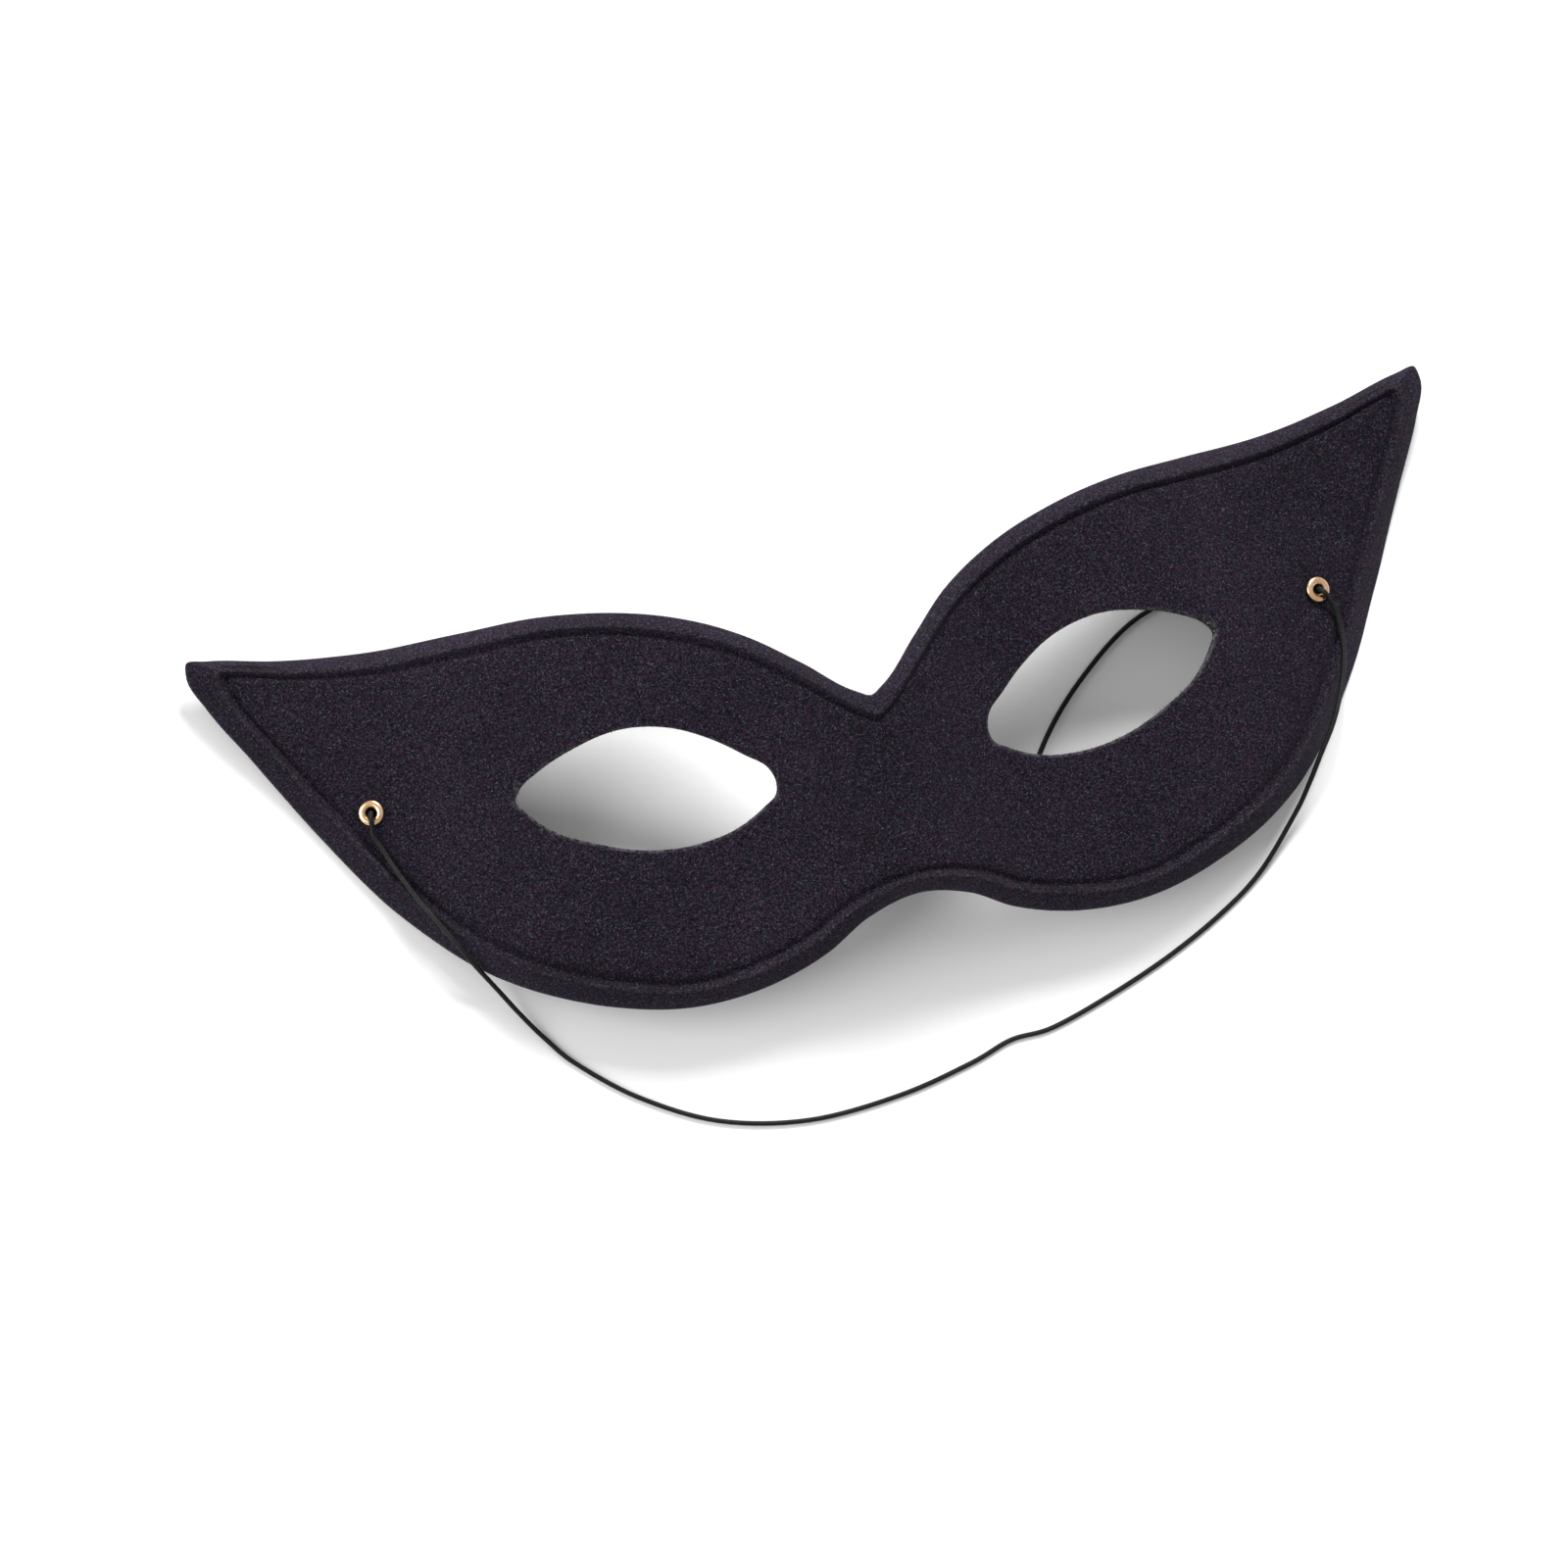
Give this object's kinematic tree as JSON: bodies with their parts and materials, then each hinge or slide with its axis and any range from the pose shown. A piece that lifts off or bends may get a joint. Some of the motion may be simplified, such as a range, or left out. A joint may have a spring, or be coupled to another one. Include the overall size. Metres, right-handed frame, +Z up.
{
  "type": "domino mask",
  "caption": "Moulded half-face eye mask with swept-up pointed wings, almond eyeholes, a pressed line inside the turned-down border, brass eyelets and a thin elastic cord.",
  "frame": {"origin": "on the surface the mask lies on, under the centre of the shell's outline", "axes": "+Z up, out of the face of the mask as it lies on its back; +X along the wings, towards the wing on the right of the picture; +Y towards the brow"},
  "size_m": [0.2048, 0.0951, 0.0274],
  "materials": {
    "felt": "matte short pile, black with a violet cast",
    "brass": "bright, turned and rolled",
    "elastic": "round braided black elastic, faint sheen"
  },
  "bodies": {
    "root": {"mask_shell": "felt", "eyelet_left": "brass", "eyelet_right": "brass", "knot_left": "elastic", "knot_right": "elastic", "elastic_cord": "elastic"}
  },
  "joints": []
}
